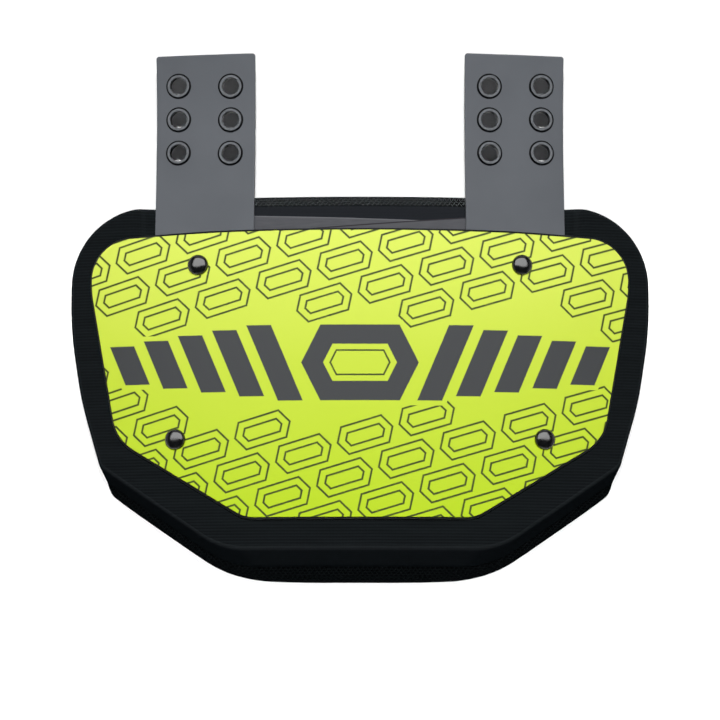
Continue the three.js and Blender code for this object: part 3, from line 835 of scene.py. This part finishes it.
def round_piece(name, profile, where, closed, sides=64, cuts=0):
    """A profile of radius and height carried round the seat's own axis. A closed profile makes a
    ring; an open one ends on the axis at both ends. Its corners are cut at a quarter of both runs,
    cuts times."""
    line = np.array(profile, float)
    for _ in range(cuts):
        ahead = np.roll(line, -1, 0)
        cut = np.stack([line * 0.75 + ahead * 0.25, line * 0.25 + ahead * 0.75], 1).reshape(-1, 2)
        line = cut if closed else np.concatenate([line[:1], cut[:-2], line[-1:]])
    turn = -2 * np.pi * np.arange(sides) / sides
    ring = line if closed else line[1:-1]
    local = (ring[:, :1] * np.cos(turn), ring[:, :1] * np.sin(turn), ring[:, 1:] + 0 * turn)
    local = np.stack(local, -1)
    basis, spot = where
    rings = local @ basis.T / 1000 + spot
    if closed:
        faces = strip_faces(len(rings) + 1, sides) % (len(rings) * sides)
        return mesh_piece(name, rings, [faces], np.repeat(ring, sides, axis=0))
    poles = np.array([[0, 0, line[0, 1]], [0, 0, line[-1, 1]]]) @ basis.T / 1000 + spot
    return closed_piece(name, rings, poles)


for side, word in ((-1, "left"), (1, "right")):
    strap = strap_sheet(f"strap_{word}_sheet", side)
    dressed(strap, "strap_sheet", strap_grey)
    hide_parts(f"strap_{word}")
    for row, height in enumerate(EYELET_ROWS):
        for column, offset in enumerate(EYELET_COLUMNS):
            away = EYELET_OUTSET + offset
            y = height + EYELET_RISE * away
            slope = 3 * STRAP_CURL * (y / STRAP_REACH) ** 2 / STRAP_REACH
            where = seat(strap_middle(side, y) + side * away, y, strap_lift(y), slope)
            node = f"eyelet_{word}_{row + 1}_{column + 1}"
            ring = round_piece(node + "_ring", EYELET_PROFILE, where, True, 72, 2)
            dressed(ring, "eyelet_metal", eyelet_enamel)
            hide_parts(node)

# The screws

# A head's section is a superellipse of the power HEAD_POWER on a rim HEAD_RIM high.
HEAD_POWER, HEAD_RIM = 2.6, 0.25
screw_enamel = painted_finish("screw_metal", tone(8, 9, 10), 0.12, 0.9)
head_reach = np.sin(np.linspace(1, 0, 20) * np.pi / 2)
head_rise = (1 - head_reach ** HEAD_POWER) ** (1 / HEAD_POWER)
screw_profile = [
    (0, SCREW_FOOT), (SCREW_SHANK / 2, SCREW_FOOT), (SCREW_SHANK / 2, 0),
    (SCREW_HEAD / 2 - 0.3, 0), (SCREW_HEAD / 2, 0.12),
]
screw_profile += zip(SCREW_HEAD / 2 * head_reach, HEAD_RIM + (SCREW_HEIGHT - HEAD_RIM) * head_rise)
for side, word in ((-1, "left"), (1, "right")):
    for level, (u, y) in SCREWS.items():
        node = f"screw_{level}_{word}"
        where = seat(side * u, y, SHELL_FRONT + CLEARANCE)
        knob = round_piece(node + "_dome", screw_profile, where, False)
        dressed(knob, "screw_metal", screw_enamel)
        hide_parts(node)

# The floor and the light


def floor_finish():
    """Pale paint, which glows far from the piece, where the key light fades, to stay pale."""
    f = Finish("floor_paint", Roughness=0.9, Emission_Strength=1.0)
    x, y, z = f.object_place()
    cloud = f.noise(f.vector(x, y, z), 0.004, 2.0)
    away = (x * x + y * y).math("SQRT").between(400.0, 2600.0)
    paint = f.mix(cloud, (0.86, 0.86, 0.86), (0.9, 0.9, 0.9))
    return f.show(Base_Color=paint, Emission_Color=f.mix(away, (0, 0, 0), (0.9, 0.9, 0.9)))


floor_points = np.array([[-1, -1, 0], [1, -1, 0], [1, 1, 0], [-1, 1, 0]], float) * 30
floor = mesh_piece("floor", floor_points, [np.array([[0, 1, 2, 3]])])
floor.data.materials.append(floor_finish())

# The studio: pale where the camera looks past the floor, and dim as a light
world = bpy.data.worlds.new("studio")
world.use_nodes = True
sky = world.node_tree.nodes["Background"]
sky.inputs["Color"].default_value = (1, 1, 1, 1)
path = world.node_tree.nodes.new("ShaderNodeLightPath")
share = world.node_tree.nodes.new("ShaderNodeMapRange")
share.inputs["To Min"].default_value = 0.03
share.inputs["To Max"].default_value = 0.93
world.node_tree.links.new(path.outputs["Is Camera Ray"], share.inputs["Value"])
world.node_tree.links.new(share.outputs["Result"], sky.inputs["Strength"])
bpy.context.scene.world = world


def lamp(name, kind, place, aim, power, **settings):
    """A light of the given kind at its place, facing its aim."""
    data = bpy.data.lights.new(name, kind)
    data.energy = power
    for key, value in settings.items():
        setattr(data, key, value)
    holder = bpy.data.objects.new(name, data)
    bpy.context.scene.collection.objects.link(holder)
    holder.location = place
    holder.rotation_euler = (Vector(aim) - Vector(place)).to_track_quat("-Z", "Y").to_euler()
    return holder


# The key light stands straight above and makes no gloss. The wash lights the floor alone, from in
# front. The softbox and the panels make the gloss and no other light.
key = lamp("key", "AREA", (0, 0.092, 1.6), (0, 0.092, 0), 29.5, shape="DISK", size=0.07)
key.visible_glossy = False
panel = {"shape": "RECTANGLE"}
wash = lamp("floor wash", "AREA", (0, -2.4, 0.55), (0, 0, 0), 260, size=0.8, size_y=0.2, **panel)
wash.visible_glossy = False
washed = bpy.data.collections.new("washed")
washed.objects.link(floor)
wash.light_linking.receiver_collection = washed
for name, place, aim, size, power in (
    ("softbox", (0, 1.2, 2.2), (0, 1.2, 0), (3.2, 2.0), 76),
    ("front panel", (0, -2.6, 1.0), (0, 0, 0), (3.2, 1.2), 5),
    ("back panel", (0, 2.6, 0.9), (0, 0, 0), (3.2, 1.0), 7),
    ("left panel", (-2.6, 0, 1.0), (0, 0, 0), (3.2, 1.2), 5),
    ("right panel", (2.6, 0, 1.0), (0, 0, 0), (3.2, 1.2), 5),
):
    light = lamp(name, "AREA", place, aim, power, size=size[0], size_y=size[1], **panel)
    light.visible_diffuse = False

bpy.context.scene.view_settings.view_transform = "Standard"
